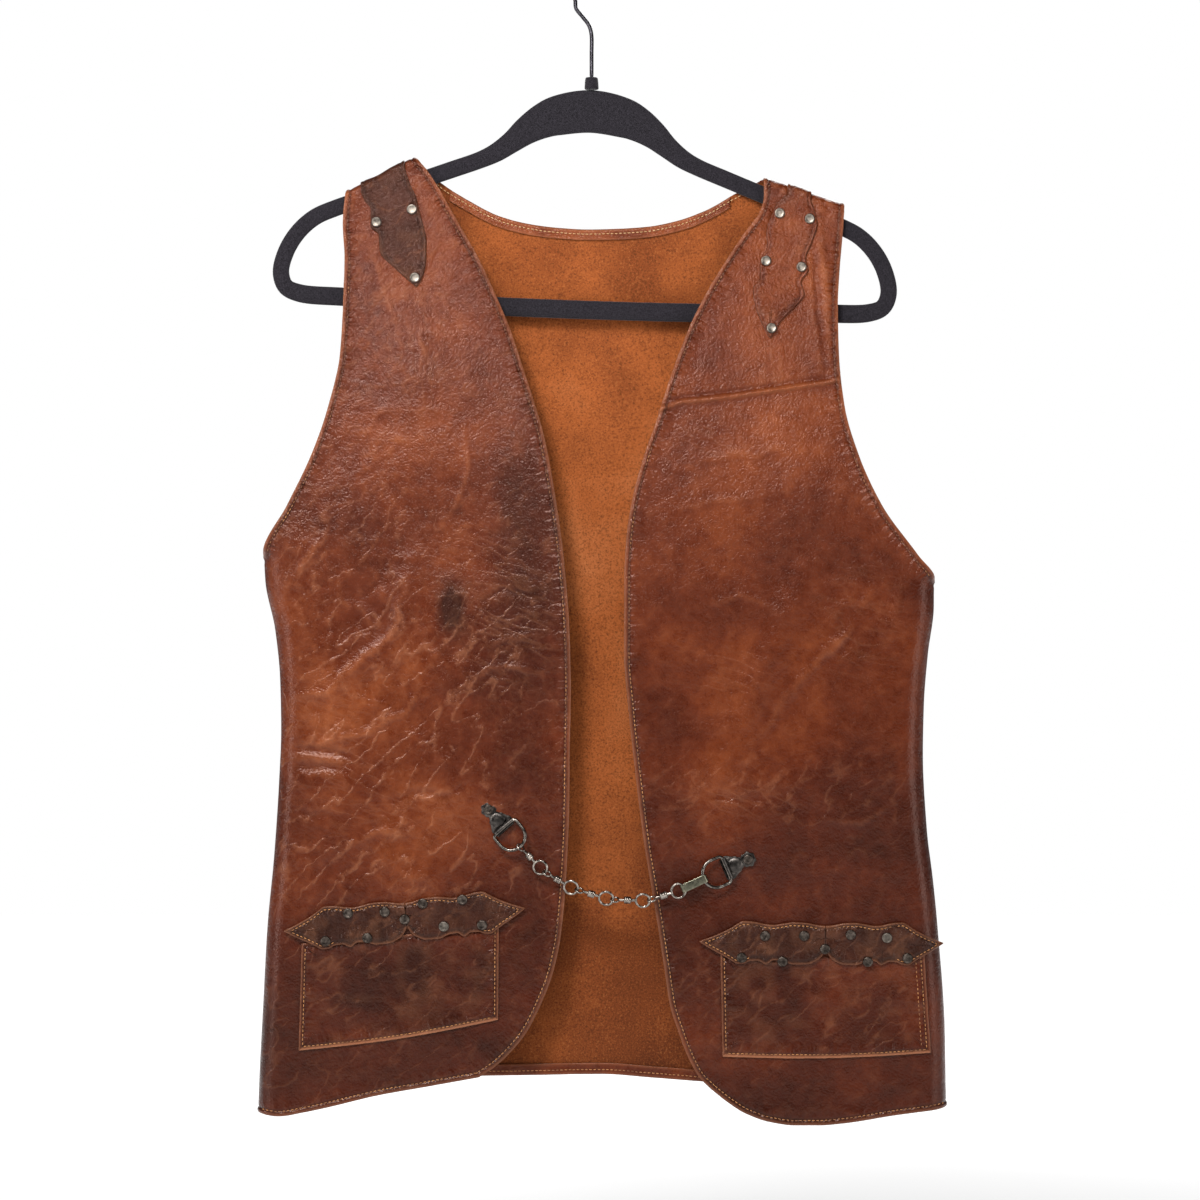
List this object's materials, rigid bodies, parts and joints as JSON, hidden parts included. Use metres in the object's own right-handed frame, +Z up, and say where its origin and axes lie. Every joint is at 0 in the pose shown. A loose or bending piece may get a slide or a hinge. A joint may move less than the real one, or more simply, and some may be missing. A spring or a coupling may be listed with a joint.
{
  "type": "leather vest on a hanger",
  "caption": "Unlined brown leather vest with open cut-away fronts, studded scalloped pocket trims and a chain closure, hung on a flocked hanger with a wire hook.",
  "frame": {"origin": "underside of the wire at the top of the hook, in the hanger's middle plane", "axes": "+Z up along the vest, +Y from the fronts to the back, +X towards the wearer's left"},
  "size_m": [0.4901, 0.0408, 0.8397],
  "materials": {
    "leather_brown": "worn satin",
    "leather_suede": "matte suede",
    "leather_dark": "worn satin",
    "metal_nickel": "tarnished",
    "hook_steel": "black nickel",
    "flock_black": "matte flock"
  },
  "bodies": {
    "root": {"back": "leather_suede", "front_right": "leather_brown", "front_left": "leather_brown", "neck_facing": "leather_brown", "back_hem": "leather_brown", "pocket_right": "leather_brown", "pocket_left": "leather_brown", "trim_right_outer": "leather_dark", "trim_right_inner": "leather_dark", "trim_left_inner": "leather_dark", "trim_left_outer": "leather_dark", "shoulder_patch_right": "leather_dark", "shoulder_patch_left": "leather_brown", "clasp_right": "metal_nickel", "clasp_left": "metal_nickel", "d_ring_right": "metal_nickel", "d_ring_left": "metal_nickel", "chain_connector": "metal_nickel", "hanger_frame": "flock_black", "hanger_collar": "flock_black", "hanger_hook": "hook_steel", "chain_link_1": "metal_nickel", "chain_link_2": "metal_nickel", "chain_link_3": "metal_nickel", "chain_link_4": "metal_nickel", "chain_link_5": "metal_nickel", "rivet_patch_right_1": "metal_nickel", "rivet_patch_right_2": "metal_nickel", "rivet_patch_right_3": "metal_nickel", "rivet_patch_left_1": "metal_nickel", "rivet_patch_left_2": "metal_nickel", "rivet_patch_left_3": "metal_nickel", "rivet_patch_left_4": "metal_nickel", "rivet_patch_left_5": "metal_nickel", "rivet_trim_right_1": "metal_nickel", "rivet_trim_right_2": "metal_nickel", "rivet_trim_right_3": "metal_nickel", "rivet_trim_right_4": "metal_nickel", "rivet_trim_right_5": "metal_nickel", "rivet_trim_right_6": "metal_nickel", "rivet_trim_right_7": "metal_nickel", "rivet_trim_right_8": "metal_nickel", "rivet_trim_right_9": "metal_nickel", "rivet_trim_left_1": "metal_nickel", "rivet_trim_left_2": "metal_nickel", "rivet_trim_left_3": "metal_nickel", "rivet_trim_left_4": "metal_nickel", "rivet_trim_left_5": "metal_nickel", "rivet_trim_left_6": "metal_nickel", "rivet_trim_left_7": "metal_nickel", "rivet_trim_left_8": "metal_nickel", "rivet_trim_left_9": "metal_nickel", "rivet_clasp_right": "metal_nickel", "rivet_clasp_left": "metal_nickel"}
  },
  "joints": []
}
